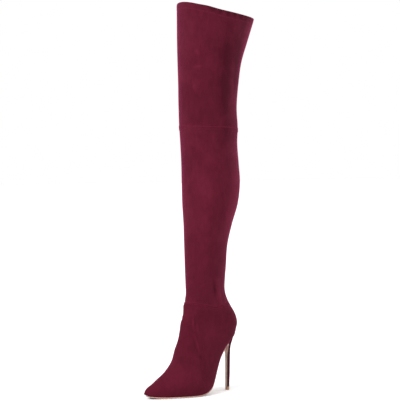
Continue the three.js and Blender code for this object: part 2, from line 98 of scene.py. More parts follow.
# %% Write the section tables
# along up lean depth outer inner ridge sole_outer sole_inner belly crown
last_rows = [
    [0.998, 0.05, 0, 0.03, -0.078, -0.102, -0.09, -0.088, -0.092, 0.0, 2.0],
    [0.99, 0.042, 0, 0.075, -0.052, -0.128, -0.09, -0.074, -0.106, -0.1, 2.0],
    [0.975, 0.032, 0, 0.118, -0.018, -0.162, -0.09, -0.04, -0.14, -0.3, 2.0],
    [0.95, 0.022, 0, 0.162, 0.025, -0.198, -0.088, 0.002, -0.175, -0.45, 2.0],
    [0.9, 0.011, 0, 0.23, 0.094, -0.252, -0.082, 0.07, -0.226, -0.52, 2.0],
    [0.825, 0.003, 2, 0.335, 0.19, -0.322, -0.076, 0.16, -0.29, -0.54, 2.0],
    [0.74, 0, 6, 0.43, 0.288, -0.39, -0.07, 0.25, -0.352, -0.55, 1.95],
    [0.65, 0, 11, 0.553, 0.378, -0.448, -0.064, 0.333, -0.404, -0.56, 1.9],
    [0.56, 0, 17, 0.686, 0.448, -0.48, -0.058, 0.397, -0.423, -0.56, 1.85],
    [0.49, 0, 21, 0.82, 0.484, -0.486, -0.052, 0.422, -0.404, -0.6, 1.8],
    [0.43, 0.012, 23.2, 0.985, 0.49, -0.468, -0.046, 0.425, -0.346, -0.63, 1.8],
    [0.375, 0.044, 25.7, 1.1, 0.482, -0.438, -0.04, 0.415, -0.276, -0.64, 1.8],
    [0.32, 0.111, 29.1, 1.175, 0.463, -0.408, -0.034, 0.38, -0.23, -0.62, 1.8],
    [0.272, 0.253, 34.3, 1.165, 0.436, -0.388, -0.028, 0.33, -0.218, -0.58, 1.8],
    [0.229, 0.422, 40.8, 1.125, 0.408, -0.376, -0.022, 0.285, -0.224, -0.53, 1.82],
    [0.186, 0.591, 48.2, 1.095, 0.39, -0.37, -0.016, 0.26, -0.25, -0.5, 1.85],
    [0.134, 0.751, 56, 1.095, 0.382, -0.37, -0.012, 0.272, -0.276, -0.5, 1.88],
    [0.098, 0.819, 59.6, 1.118, 0.383, -0.372, -0.01, 0.276, -0.276, -0.5, 1.89],
    [0.07, 0.88, 63, 1.145, 0.384, -0.374, -0.008, 0.28, -0.275, -0.52, 1.9],
    [0.015, 0.951, 66.6, 1.225, 0.383, -0.377, -0.006, 0.24, -0.24, -0.52, 1.9],
    [-0.022, 1.0, 68.3, 1.282, 0.38, -0.375, -0.004, 0.145, -0.15, -0.48, 1.9],
    [-0.0475, 1.082, 70.6, 1.318, 0.38, -0.378, 0, 0.07, -0.07, -0.48, 1.92],
    [-0.0615, 1.201, 73.6, 1.322, 0.386, -0.384, 0, 0.05, -0.05, -0.52, 1.95],
    [-0.055, 1.325, 76.8, 1.285, 0.386, -0.384, 0, 0.04, -0.04, -0.46, 2.0],
    [-0.03, 1.443, 79.6, 1.2, 0.386, -0.386, 0, 0.035, -0.035, -0.38, 2.0],
    [0.01, 1.562, 81.8, 1.085, 0.39, -0.39, 0, 0.035, -0.035, -0.28, 2.0],
    [0.05, 1.691, 84.4, 0.975, 0.398, -0.398, 0, 0.035, -0.035, -0.18, 2.0],
    [0.075, 1.835, 87, 0.9, 0.408, -0.408, 0, 0.035, -0.035, -0.08, 2.0],
]


def between(a, b, share):
    return a + (b - a) * share


def ease(low, high, value):
    """Rises smoothly from 0 to 1 as the value goes from low to high."""
    t = np.clip((value - low) / (high - low), 0, 1)
    return t * t * (3 - 2 * t)


def hump(value, middle, width):
    """Is 1 at the middle and fades softly over the width."""
    return np.exp(-(((value - middle) / width) ** 2))


def level(low, high, share, axis=None, size=None, hug=1.0):
    """A level section of the leg between two measured ones."""
    size = share if size is None else size
    return {
        "height": between(low["height"], high["height"], share),
        "axis": between(low["axis"], high["axis"], share if axis is None else axis),
        "depth": between(low["depth"], high["depth"], size) * hug,
        "width": between(low["width"], high["width"], size) * hug,
    }


leg_rows = [
    ankle,
    level(ankle, calf, 0.2, axis=0.05, size=0.11),
    level(ankle, calf, 0.4, axis=0.12, size=0.22),
    level(ankle, calf, 0.6, axis=0.46, size=0.49),
    level(ankle, calf, 0.8, axis=0.86, size=0.86),
    calf,
    level(calf, knee, 0.35, axis=0.35, hug=0.985),
    level(calf, knee, 0.7, axis=0.86, hug=0.975),
    knee,
    level(knee, thigh, 0.16, axis=-0.09, size=0.05),
    level(knee, thigh, 0.32, axis=-0.02, size=0.13),
    level(knee, thigh, 0.48, axis=0.1, size=0.27),
    level(knee, thigh, 0.64, axis=0.4, size=0.53),
    level(knee, thigh, 0.8, axis=0.72, size=0.78),
    thigh,
]
print(len(last_rows), "rows of the last and", len(leg_rows), "of the leg")

# %% [markdown]
# ## From rows to smooth sections
# Between two rows the skin follows a smooth blend, paced by the distance along the middle of
# the boot. A station is a row number that may have a fraction, so 3.5 lies half way between
# rows 3 and 4. The whole skin is worked out once on a fine grid, and each piece then takes the
# patch it needs.

# %% Blend the rows


def foot_section(row):
    along, up, lean, depth, outer, inner, ridge, sole_outer, sole_inner, belly, crown = row
    if up <= 1:
        z = between(sole_stack, heel_height, up)
    else:
        z = between(heel_height, ankle["height"], up - 1)
    sides = [v * ball_width for v in (outer, inner, ridge, sole_outer, sole_inner)]
    return [along * toe_reach, z, math.radians(lean), depth * instep_depth, *sides, belly, crown]


def leg_section(row):
    spine = 0.035 * ball_width
    half = row["width"] / 2
    start = row["axis"] - row["depth"] / 2
    return [start, row["height"], math.pi / 2, row["depth"], half, -half, 0, spine, -spine, 0, 2]


sections = np.array([foot_section(r) for r in last_rows] + [leg_section(r) for r in leg_rows])
ankle_station = len(last_rows)
knee_station = ankle_station + 8
top_station = len(sections) - 1
middles = sections[:, :2] + 0.5 * sections[:, 3:4] * np.column_stack(
    [np.sin(sections[:, 2]), np.cos(sections[:, 2])]
)
pace = np.append(0, np.cumsum(np.linalg.norm(np.diff(middles, axis=0), axis=1)))


def smooth_rows(rows, steps, stations):
    """Rows of a table at whole or fractional row numbers, on a curve through every row."""
    stations = np.atleast_1d(stations)
    i = np.minimum(stations.astype(int), len(rows) - 2)
    before = np.maximum(i - 1, 0)
    after = np.minimum(i + 2, len(rows) - 1)
    u = (stations - i)[:, None]
    run = (steps[i + 1] - steps[i])[:, None]
    leave = (rows[i + 1] - rows[before]) / (steps[i + 1] - steps[before])[:, None]
    arrive = (rows[after] - rows[i]) / (steps[after] - steps[i])[:, None]
    turn = u * u * (3 - 2 * u)
    level_part = rows[i] * (1 - turn) + rows[i + 1] * turn
    return level_part + run * (leave * u * (1 - u) ** 2 + arrive * u * u * (u - 1))


def section_at(stations):
    return smooth_rows(sections, pace, stations)


print("the boot's middle line is", round(pace[-1]), "mm long")

# %% [markdown]
# ## The skin
# Each section is drawn from the edge of its flat underside, out to the widest point and up to
# the ridge, once for the outer side and once for the inner side. Points are spaced evenly by
# length. Every point keeps its own direction outwards, so a wall of any thickness, a rib or a
# crease is only a different distance along that direction.

# %% Work out the skin on a fine grid
per_station = 16
rows_per_station = 6
side_steps = 60
under_steps = 5
lasted_from = 3
lasted_to = 19


def half_outline(s, edge, widest):
    """One side of a section and its outward directions, across and up in the section's plane."""
    depth, belly, crown, ridge = s[3], s[9], s[10], s[6]
    belly_height = (belly + 1) / 2 * depth
    a = np.linspace(0, math.pi / 2, 81)
    low = np.column_stack([edge + (widest - edge) * np.sin(a), belly_height * (1 - np.cos(a))])
    bow = 2 / crown
    high = np.column_stack(
        [
            ridge + (widest - ridge) * np.clip(np.cos(a), 0, 1) ** bow,
            belly_height + (depth - belly_height) * np.sin(a) ** bow,
        ]
    )
    line = np.vstack([low[:-1], high])
    length = np.append(0, np.cumsum(np.linalg.norm(np.diff(line, axis=0), axis=1)))
    want = np.linspace(0, length[-1], side_steps + 1)
    points = np.column_stack([np.interp(want, length, line[:, k]) for k in (0, 1)])
    along = np.gradient(points, axis=0)
    along /= np.linalg.norm(along, axis=1)[:, None] + 1e-12
    turned = -1 if widest < ridge else 1
    normal = np.column_stack([along[:, 1], -along[:, 0]]) * turned
    normal[0] = (0, -1)
    normal[-1] = (0, 1)
    return points, normal


def section_ring(s, station):
    """A whole section: under the outer edge, over the foot, and back under the inner edge."""
    middle = (s[7] + s[8]) / 2
    start, end = middle, middle
    if lasted_from <= station <= lasted_to:
        start = max(s[7] - lasting_margin, middle + 0.4)
        end = min(s[8] + lasting_margin, middle - 0.4)
    outer, outer_normal = half_outline(s, s[7], s[4])
    inner, inner_normal = half_outline(s, s[8], s[5])
    share = np.arange(under_steps) / under_steps
    under_a = np.column_stack([between(start, s[7], share), 0 * share])
    under_b = np.column_stack([between(s[8], end, share + 1 / under_steps), 0 * share])
    down = np.tile([0.0, -1.0], (under_steps, 1))
    flat = np.vstack([under_a, outer, inner[-2::-1], under_b])
    out = np.vstack([down, outer_normal, inner_normal[-2::-1], down])
    return flat, out


grid_stations = np.arange(0, top_station * per_station + 1) / per_station
grid_sections = section_at(grid_stations)
skin = []
outward = []
for station, s in zip(grid_stations, grid_sections):
    flat, out = section_ring(s, station)
    lean = np.array([math.sin(s[2]), math.cos(s[2])])
    skin.append(np.column_stack([s[0] + lean[0] * flat[:, 1], flat[:, 0], s[1] + lean[1] * flat[:, 1]]))
    outward.append(np.column_stack([lean[0] * out[:, 1], out[:, 0], lean[1] * out[:, 1]]))
skin = np.array(skin)
outward = np.array(outward)
columns = np.arange(skin.shape[1])
print("skin grid", skin.shape)


def skin_at(stations):
    """Skin points and outward directions, for a table of stations with a value per column."""
    at = np.clip(stations, 0, top_station) * per_station
    low = np.minimum(at.astype(int), len(skin) - 2)
    share = (at - low)[..., None]
    points = skin[low, columns] * (1 - share) + skin[low + 1, columns] * share
    out = outward[low, columns] * (1 - share) + outward[low + 1, columns] * share
    return points, out / (np.linalg.norm(out, axis=-1, keepdims=True) + 1e-12)


# %% [markdown]
# ## Seam lines
# The foot part ends at the ankle, a raised seam crosses the knee, and the collar runs from low
# at the back to high at the front. Each line is a smooth curve in side view. Where a column of
# the skin meets such a line is found once, and the rows of a piece are then laid between two
# lines, closer together where an edge or a row of stitches needs them.

# %% Draw the seam lines
def seam_curve(points, steps=60):
    """A smooth curve through a few points in side view, from back to front."""
    p = np.array(points, float)
    p = np.vstack([p[0], p, p[-1]])
    out = []
    for k in range(len(p) - 3):
        for t in np.linspace(0, 1, steps, endpoint=False):
            a, b, c, d = p[k : k + 4]
            bend = 2 * a - 5 * b + 4 * c - d
            rest = -a + 3 * b - 3 * c + d
            out.append(0.5 * (2 * b + (c - a) * t + bend * t**2 + rest * t**3))
    out.append(p[-1])
    return np.array(out)


ankle_back = ankle["axis"] - ankle["depth"] / 2
ankle_front = ankle["axis"] + ankle["depth"] / 2
ankle_line = seam_curve(
    [
        [ankle_back - 12, 194, 0],
        [ankle_back, 190, 0],
        [between(ankle_back, ankle_front, 0.2), between(174, 190, 0.3), 0],
        [between(ankle_back, ankle_front, 0.45), 174, 0],
        [between(ankle_back, ankle_front, 0.75), between(174, 184, 0.55), 0],
        [ankle_front, 184, 0],
        [ankle_front + 12, 184, 0],
    ]
)
knee_line = seam_curve(
    [
        [knee["axis"] - knee["depth"] / 2, 530, 0],
        [knee["axis"], between(530, 535, 0.55), 0],
        [knee["axis"] + knee["depth"] / 2, 535, 0],
    ]
)
thigh_back = thigh["axis"] - thigh["depth"] / 2
thigh_front = thigh["axis"] + thigh["depth"] / 2
collar_line = seam_curve(
    [
        [thigh_back, 745.5, 0],
        [between(thigh_back, thigh_front, 0.42), 750.3, 0],
        [between(thigh_back, thigh_front, 0.72), 759, -0.01],
        [between(thigh_back, thigh_front, 0.88), 769.6, -0.05],
        [between(thigh_back, thigh_front, 0.95), 774.1, -0.08],
        [thigh_front, 777.6, -0.08],
    ]
)


def below(line, points):
    """How far points lie below a seam line, which may also tilt from side to side."""
    height = np.interp(points[..., 0], line[:, 0], line[:, 1])
    tilt = np.interp(points[..., 0], line[:, 0], line[:, 2])
    return height + tilt * points[..., 1] - points[..., 2]


def meets(line, drop, offset, low, high):
    """The station at which each column of the skin comes up to a line, less a drop."""
    rows = slice(int(low * per_station), int(high * per_station) + 1)
    gap = below(line, skin[rows] + outward[rows] * offset) - drop
    first = np.argmax(gap < 0, axis=0)
    first = np.where((gap < 0).any(axis=0), np.maximum(first, 1), len(gap) - 1)
    a = gap[first - 1, columns]
    b = gap[first, columns]
    share = np.clip(a / np.where(np.abs(a - b) < 1e-9, 1e-9, a - b), 0, 1)
    return grid_stations[rows][first - 1] + share / per_station


def ladder(low, high, count):
    """Rows of stations spread evenly from one row to another, without both ends."""
    share = np.linspace(0, 1, count + 2)[1:-1, None]
    return low[None] + (high - low)[None] * share


def straight_rows(low, high):
    """Rows of stations that are the same in every column."""
    row = np.arange(low * rows_per_station, high * rows_per_station + 1) / rows_per_station
    return np.repeat(row[:, None], skin.shape[1], axis=1)


print("collar from", round(collar_line[0, 1]), "to", round(collar_line[-1, 1]), "mm")

# %% [markdown]
# ## Creases
# Suede on a leg is never quite even. It dips behind the ankle where the foot bends, gathers in
# faint ridges over the instep, and puckers a little on the thigh. Each crease here is a short
# line in side view with a width and a height, and it lifts or sinks the skin softly along that
# line. Placing them one by one keeps them where the real ones are.

# %% List the creases and the bands of painted light and shade
# side x0 z0 x1 z1 width height painted_light
# painted_light is painted light and shade: lighter on a crease's ridge and darker in its dip;
# the rows with no height are only broad bands of painted light and shade.
creases = [
    ["outer", 98, 158, 101, 131, 1.8, 0.8, 0.55],
    ["outer", 95, 158, 98, 133, 1.6, -0.5, -0.2],
    ["outer", 92, 147, 93, 121, 1.6, 0.6, 0.4],
    ["outer", 99, 117, 94, 84, 2.2, 0.8, 0.55],
    ["outer", 103, 112, 98, 86, 2.4, -0.5, -0.2],
    ["outer", 94, 80, 92, 73, 3.6, -0.6, -0.5],
    ["outer", 64, 236, 54, 186, 2.4, -1.0, -0.4],
    ["outer", 51, 226, 42, 172, 4.2, 0.9, 0.5],
    ["outer", 81, 527, 69, 490, 4.0, 0.4, 0.2],
    ["outer", 105, 682, 103, 671, 1.8, 0.5, 0.6],
    ["outer", 98, 650, 108, 648, 1.6, 0.5, 0.7],
    ["outer", 108, 620, 104, 600, 2.0, 0.3, 0.4],
    ["outer", 58, 745, 49, 520, 13, 0, -0.55],
    ["outer", 34, 655, 30, 560, 6, 0, 0.3],
    ["outer", 118, 88, 138, 50, 14, 0, -0.4],
    ["outer", 176, 24, 190, 16, 12, 0, 0.2],
    ["outer", 64, 165, 82, 85, 22, 0, 0.2],
    ["outer", 90, 480, 84, 300, 12, 0, 0.25],
    ["outer", 16, 490, 36, 290, 17, 0, 0.6],
    ["outer", -22, 725, -5, 640, 6, 0, -0.6],
    ["outer", -6, 715, 10, 640, 4, 0, 0.3],
    ["outer", 16, 740, 22, 545, 13, 0, -0.5],
    ["inner", 96, 156, 99, 128, 2.4, 0.7, 0.3],
    ["inner", 62, 232, 54, 190, 2.8, -0.8, -0.3],
    ["inner", 48, 224, 42, 184, 4.0, 0.8, 0.3],
]


lift_column = 6
painted_light_column = 7


def crease_sum(points, column):
    """What the creases add at each point, to its lift or to its painted light and shade."""
    total = np.zeros(points.shape[:-1])
    flat = points[..., [0, 2]]
    for row in creases:
        side, x0, z0, x1, z1, width = row[:6]
        a = np.array([x0, z0], float)
        run = np.array([x1 - x0, z1 - z0], float)
        share = np.clip(((flat - a) @ run) / (run @ run), 0, 1)
        away = np.linalg.norm(flat - a - share[..., None] * run, axis=-1)
        facing = np.clip(points[..., 1] / (12 if side == "outer" else -12), 0, 1)
        ends = 0.35 + 0.65 * np.sin(math.pi * share) ** 2
        total += row[column] * hump(away, 0, width) * facing * ends
    return total


print(len(creases), "creases placed by hand")

# %% [markdown]
# ## Making a wall
# Every soft piece of the boot is a wall: an outer face, an inner face, and rolled edges where
# it was cut. The helper below joins two grids of points into one closed mesh, rounds the open
# ends, and marks the inner faces so that they can be lined with another cloth.

# %% Build a wall from two grids
def put(name, data):
    """Adds an object with this mesh, lamp or camera to the scene."""
    piece = bpy.data.objects.new(name, data)
    bpy.context.scene.collection.objects.link(piece)
    return piece


def rolled(outer_row, inner_row, ahead, steps=5):
    """Rows that carry the outer face round an edge into the inner face."""
    middle = (outer_row + inner_row) / 2
    half = (outer_row - inner_row) / 2
    reach = np.linalg.norm(half, axis=1, keepdims=True)
    rows = []
    for k in range(1, steps):
        a = math.pi * k / steps
        rows.append(middle + half * math.cos(a) + ahead * reach * math.sin(a))
    return rows


def heading(rows, last=True):
    """The direction in which the columns run at the last or the first row."""
    along = rows[-1] - rows[-2] if last else rows[0] - rows[1]
    return along / (np.linalg.norm(along, axis=1, keepdims=True) + 1e-12)


def grid_faces(numbers):
    """Quads between neighbouring rows and columns of vertex numbers, and a mark 0 for each."""
    faces = []
    for a, b in zip(numbers[:-1], numbers[1:]):
        faces += zip(a[:-1], a[1:], b[1:], b[:-1])
    return faces, [0] * len(faces)


def close_ends(points, faces, marks, numbers, end_marks=(0, 0), repeated=1):
    """Closes the first and the last row with a fan of faces about the middle of the row."""
    for row, mark in zip((0, -1), end_marks):
        ring = numbers[row]
        centre = len(points)
        points.append(np.mean([points[n] for n in ring[: len(ring) - repeated]], axis=0))
        for a, b in zip(ring[:-1], ring[1:]):
            faces.append((a, centre, b) if row == 0 else (a, b, centre))
            marks.append(mark)


def finished(name, points, faces, marks, tones=None):
    """A mesh in metres with its doubles merged and its faces pointing outwards."""
    mesh = bpy.data.meshes.new(name)
    mesh.from_pydata([tuple(p) for p in np.asarray(points) * 0.001], [], faces)
    mesh.polygons.foreach_set("material_index", marks)
    if tones is not None:
        layer = mesh.attributes.new("tone", "FLOAT", "POINT")
        layer.data.foreach_set("value", np.asarray(tones, dtype=np.float32))
    work = bmesh.new()
    work.from_mesh(mesh)
    bmesh.ops.remove_doubles(work, verts=work.verts, dist=2e-6)
    bmesh.ops.dissolve_degenerate(work, edges=work.edges, dist=1e-7)
    bmesh.ops.recalc_face_normals(work, faces=work.faces)
    for face in work.faces:
        face.smooth = True
    open_edges = sum(1 for e in work.edges if len(e.link_faces) != 2)
    work.to_mesh(mesh)
    work.free()
    triangles = sum(len(p.vertices) - 2 for p in mesh.polygons)
    print(name, triangles, "triangles,", open_edges, "open edges")
    return put(name, mesh)


def wall(name, outer, inner, tone, end_steps=5, start_steps=3):
    """A closed sleeve wall from an outer and an inner grid with the same number of rows."""
    over = rolled(outer[-1], inner[-1], heading(outer), end_steps)
    under = rolled(inner[0], outer[0], heading(outer, last=False), start_steps)
    rows = [*outer, *over, *inner[::-1], *under, outer[0]]
    count = outer.shape[1]
    points = np.vstack(rows)
    numbers = np.arange(len(points)).reshape(-1, count)
    faces, marks = grid_faces(numbers)
    lined_from = (len(outer) + len(over) // 2 + 1) * (count - 1)
    lined_to = (len(outer) + len(over) + len(inner)) * (count - 1)
    marks[lined_from:lined_to] = [1] * len(marks[lined_from:lined_to])
    plain = np.zeros((len(inner) + len(under)) * count)
    tones = [tone.ravel(), np.tile(tone[-1], len(over)), plain, tone[0]]
    return finished(name, points, faces, marks, np.concatenate(tones))


def closed_loft(name, rings, tones=None):
    """A solid through closed rings, with a fan of faces at both ends."""
    points = list(np.vstack(rings))
    numbers = np.arange(len(points)).reshape(len(rings), -1)
    faces, marks = grid_faces(numbers)
    close_ends(points, faces, marks, numbers)
    return finished(name, points, faces, marks, tones)


def baked(piece, modifier):
    """Gives a piece the mesh that its modifier makes, and takes the modifier away."""
    graph = bpy.context.evaluated_depsgraph_get()
    made = bpy.data.meshes.new_from_object(piece.evaluated_get(graph))
    piece.modifiers.remove(modifier)
    piece.data = made


print("wall helpers ready")

# %% [markdown]
# ## Lower shaft
# From the ankle to the knee the boot is one sleeve of stretch suede. Its lower end is tucked
# into the foot part, and its top edge is doubled over into a raised rib under the knee. A thin
# groove down the back is the seam that closes the sleeve.

# %% Make the lower shaft
def back_groove(points, across=0.9, depth=0.35):
    """The sunk line of the seam down the middle of the back."""
    at_back = ease(0.0, -6.0, points[..., 0] - leg_axis(points[..., 2]))
    return -depth * hump(points[..., 1], 0, across) * at_back


def leg_axis(height):
    """The middle of the leg, front to back, at a height."""
    rows = np.array([[r["height"], r["axis"]] for r in leg_rows])
    return np.interp(height, rows[:, 0], rows[:, 1])


def sleeve_rows(low_line, low_drops, high_line, high_drops, offset, low, high, count):
    """Rows of stations between two seam lines, with close rows at both ends."""
    start = [meets(low_line, d, offset, low, high) for d in low_drops]
    stop = [meets(high_line, d, offset, low, high) for d in high_drops]
    return np.vstack([start, ladder(start[-1], stop[0], count), stop])


shaft_stations = sleeve_rows(
    ankle_line,
    [8, 5, 2, 1, 0.4, 0, -0.4, -0.9, -1.6, -2.6, -4],
    knee_line,
    [14, 12.4, 11.4, 10.6, 10, 9.4, 8.8, 8, 6.5, 5, 3.5, 2.2, 1.5, 1.05],
    0,
    ankle_station - 6,
    knee_station + 1,
    128,
)
shaft_skin, shaft_out = skin_at(shaft_stations)
drop = below(knee_line, shaft_skin)
rib = rib_step * ease(rib_height + 1.6, rib_height - 0.4, drop)
rib -= 0.25 * hump(drop, 2.4, 0.9)
lift = rib + crease_sum(shaft_skin, lift_column) + back_groove(shaft_skin)
tucked = below(ankle_line, shaft_skin)
lift *= ease(1.0, -4.0, tucked)
at_side = ease(0.35, 0.8, np.abs(shaft_out[..., 1]))
lift += ankle_swell * at_side * ease(0.4, -0.7, tucked) * hump(tucked, 0, 16)
shaft_outer = shaft_skin + shaft_out * lift[..., None]
shaft_inner = shaft_skin - shaft_out * shaft_wall
# Painted light on the lower shaft: the creases' painted light and shade, lighter along the top of the
# knee rib and at its lower edge, and lighter just above the foot's top edge, against the shadow of the
# seams there.
shaft_painted_light = crease_sum(shaft_skin, painted_light_column) + 0.45 * ease(3.6, 1.4, drop)
shaft_painted_light += 0.1 * hump(drop, 8.6, 1.2) + 0.6 * hump(tucked, -0.6, 1.4)
lower_shaft = wall("lower_shaft_suede", shaft_outer, shaft_inner, shaft_painted_light)
print("lower shaft reaches", round(float(shaft_outer[..., 2].max()), 1), "mm")

# %% [markdown]
# ## Thigh shaft
# Above the knee a second sleeve widens to the thigh. It is sewn inside the rib, so it comes
# out from under it, and at the collar the suede is folded in and stitched down as a hem.
# A shallow groove marks the row of hem stitches.

# %% Make the thigh shaft
thigh_outer_offset = -shaft_wall - seam_gap
thigh_stations = sleeve_rows(
    knee_line,
    [8, 5, 2, 0.8, 0.5, 0.25, 0, -0.25, -0.5, -1, -2, -3.5, -5.5],
    collar_line,
    [16, 14.6, 13.6, 13, 12.5, 12, 11.5, 11, 10.4, 9.4, 8, 6, 4, 2.6, 1.8, 1.3],
    thigh_outer_offset,
    knee_station - 2,
    top_station,
    92,
)
thigh_skin, thigh_out = skin_at(thigh_stations)
rise = -below(knee_line, thigh_skin)
drop = below(collar_line, thigh_skin)
swell = knee_swell * ease(-0.55, 0.5, rise) * hump(rise, 0, 24)
hem_mark = -0.3 * hump(drop, hem_height, 0.8)
hem_swell = 0.25 * ease(hem_height, hem_height - 3, drop)
lift = thigh_outer_offset + swell + hem_mark + hem_swell
lift += crease_sum(thigh_skin, lift_column) + back_groove(thigh_skin)
thigh_outer = thigh_skin + thigh_out * lift[..., None]
lining_step = between(shaft_wall, hem_wall, ease(hem_height + 1, hem_height - 1, drop))
thigh_inner = thigh_skin + thigh_out * (thigh_outer_offset - lining_step)[..., None]
# Painted light and shade on the thigh: the creases' painted light and shade; a darker band under the
# collar towards the back, partly painted shade of the rolled band and partly the nap's own mottle;
# darker along the top edge; lighter along the hem stitches; and painted light where the thigh comes out
# from under the knee rib, against the shadow there.
collar_shade_and_nap = ease(13.0, 4.0, drop) * ease(104, 70, thigh_skin[..., 0])
wander = 0.6 * np.sin(thigh_skin[..., 1] * 0.21 + drop * 0.3)
mottle = np.sin(thigh_skin[..., 0] * 0.42 + wander)
thigh_painted_light_and_nap = crease_sum(thigh_skin, painted_light_column) - (0.34 - 0.36 * mottle) * collar_shade_and_nap
thigh_painted_light_and_nap -= 0.16 * ease(4.0, 0.5, drop)
thigh_painted_light_and_nap += 0.42 * hump(drop, hem_height, 1.1) + 0.45 * ease(2.5, 0.5, rise)
thigh_shaft = wall("thigh_shaft_suede", thigh_outer, thigh_inner, thigh_painted_light_and_nap, end_steps=7)
print("collar reaches", round(float(thigh_outer[..., 2].max()), 1), "mm")

# %% [markdown]
# ## Foot upper
# The foot part is suede pulled over the last, with its edge turned under and glued to the
# insole. So it is a wall too, but one that is closed round the toe and open underneath. Its
# toe tip is rounded with a few shrinking rings, and its top line is a rolled edge over the
# lower shaft.

# %% Make the foot upper
foot_low = straight_rows(0, lasted_to)
topline_drops = (9, 6.5, 4.6, 3.6, 3, 2.5, 2, 1.4, 0.8)
topline = [
    meets(ankle_line, d, foot_outer, lasted_to, ankle_station + 1) for d in topline_drops
]
foot_stations = np.vstack([foot_low, ladder(foot_low[-1], topline[0], 36), topline])
foot_skin, foot_out = skin_at(foot_stations)
drop = below(ankle_line, foot_skin)
near_top = foot_stations > lasted_to
edge_mark = -0.22 * hump(drop, 2.6, 0.7) * near_top
sideways = np.abs(foot_out[..., 1])
clear_of_sole = ease(6.0, 9.5, foot_stations) * ease(0.5, 5.0, sideways * 8)
thin_at_tip = between(0.3, 1, ease(0.0, 3.5, foot_stations))
lift = foot_outer * thin_at_tip + crease_sum(foot_skin, lift_column) * clear_of_sole + edge_mark
lift = lift - 0.55 * ease(0.35, 0.8, sideways) * ease(9.0, 1.5, drop) * near_top
fullness = vamp_fullness * hump(foot_stations, 9.7, 1.6)
fullness *= ease(0.2, 0.9, foot_out[..., 2] + foot_out[..., 0])
foot_skin = foot_skin + foot_out * fullness[..., None]
foot_skin[..., 0] += toe_stretch * (1 - np.clip(foot_stations / 5, 0, 1)) ** 2
foot_outer_rows = foot_skin + foot_out * lift[..., None]
# Painted light on the foot: the creases' painted light and shade away from the sole, and lighter along
# the top line, against the shadow where it laps over the shaft.
foot_painted_light = crease_sum(foot_skin, painted_light_column) * clear_of_sole
foot_painted_light += 0.55 * ease(3.4, 0.8, drop) * near_top
foot_inner_rows = foot_skin + foot_out * seam_gap

first_inner = 2 * rows_per_station
toe_rows = []
tip_middle = foot_skin[0].mean(axis=0)
for k in range(5, 0, -1):
    a = math.pi / 2 * k / 5
    ring = foot_skin[0] + foot_out[0] * lift[0][:, None]
    ring = tip_middle + (ring - tip_middle) * math.cos(a)
    ring[:, 0] += toe_cap * math.sin(a)
    toe_rows.append(ring)
outer_rows = np.vstack([toe_rows, foot_outer_rows])
inner_rows = foot_inner_rows[first_inner:]

count = skin.shape[1]
edge_rows = rolled(outer_rows[-1], inner_rows[-1], heading(outer_rows), 5)
all_rows = [*outer_rows, *edge_rows, *inner_rows[::-1]]
points = list(np.vstack(all_rows))
numbers = np.arange(len(points)).reshape(-1, count)
faces, marks = grid_faces(numbers)
lined_from = (len(outer_rows) + 3) * (count - 1)
marks[lined_from:] = [1] * (len(marks) - lined_from)
close_ends(points, faces, marks, numbers, end_marks=(0, 1), repeated=0)
outer_first = len(toe_rows)
inner_last = len(numbers) - 1
for step in range(lasted_from * rows_per_station - 1, lasted_to * rows_per_station + 1):
    for column in (0, count - 1):
        a = numbers[outer_first + step][column]
        b = numbers[outer_first + step + 1][column]
        c = numbers[inner_last - (step + 1 - first_inner)][column]
        d = numbers[inner_last - (step - first_inner)][column]
        faces.append((a, b, c, d))
        marks.append(1)
tones = np.zeros(len(points))
tones[len(toe_rows) * count : len(outer_rows) * count] = foot_painted_light.ravel()
foot_upper = finished("foot_upper_suede", points, faces, marks, tones)
print("toe tip at", round(float(outer_rows[..., 0].max()), 1), "mm")

# %% [markdown]
# ## Sole
# The sole is one long strip of pale leather. It runs under the foot from toe to arch, bends
# round the front of the heel, and goes on down the heel breast as a thin flap. Its path is
# drawn in side view first, and a rounded strip section is then carried along it.

# %% Draw the path of the sole
tip_depth = 7.4
tip_width = 7.0
tip_lift = 6.5
seat_front = 16.0
seat_back = 11.6
seat_width = 47.0
flap_thickness = 1.2
turn_radius = 5.0
# height width breast back
heel_rows = [
    [0.26, 0.01, 0, 0],
    [0.47, 0.02, 0, 0.03],
    [0.62, 0.045, 0.01, 0.08],
    [0.7, 0.14, 0.05, 0.12],
    [0.77, 0.31, 0.18, 0.17],
    [0.83, 0.57, 0.4, 0.23],
    [0.88, 0.82, 0.62, 0.29],
    [0.925, 0.95, 0.8, 0.42],
    [0.965, 1, 0.92, 0.61],
    [1.025, 1.06, 1, 0.97],
    [1.09, 1.12, 1.05, 1.24],
]
heel_levels = [[tip_lift + seam_gap, tip_width / 2, tip_depth / 2, -tip_depth / 2]]
for height, width, breast, back in heel_rows:
    heel_levels.append(
        [
            height * heel_height,
            between(tip_width, seat_width, width) / 2,
            between(tip_depth / 2, seat_front, breast),
            between(-tip_depth / 2, -seat_back, back),
        ]
    )
heel_levels = np.array(heel_levels)


def heel_at(heights):
    """Half width, breast and back of the heel at these heights."""
    rows = np.interp(heights, heel_levels[:, 0], np.arange(len(heel_levels)))
    return smooth_rows(heel_levels, heel_levels[:, 0], rows)


def turned(points):
    """Unit directions square to a path, to the left of its direction of travel."""
    along = np.gradient(points, axis=0)
    along /= np.linalg.norm(along, axis=1)[:, None]
    return np.column_stack([-along[:, 1], along[:, 0]])


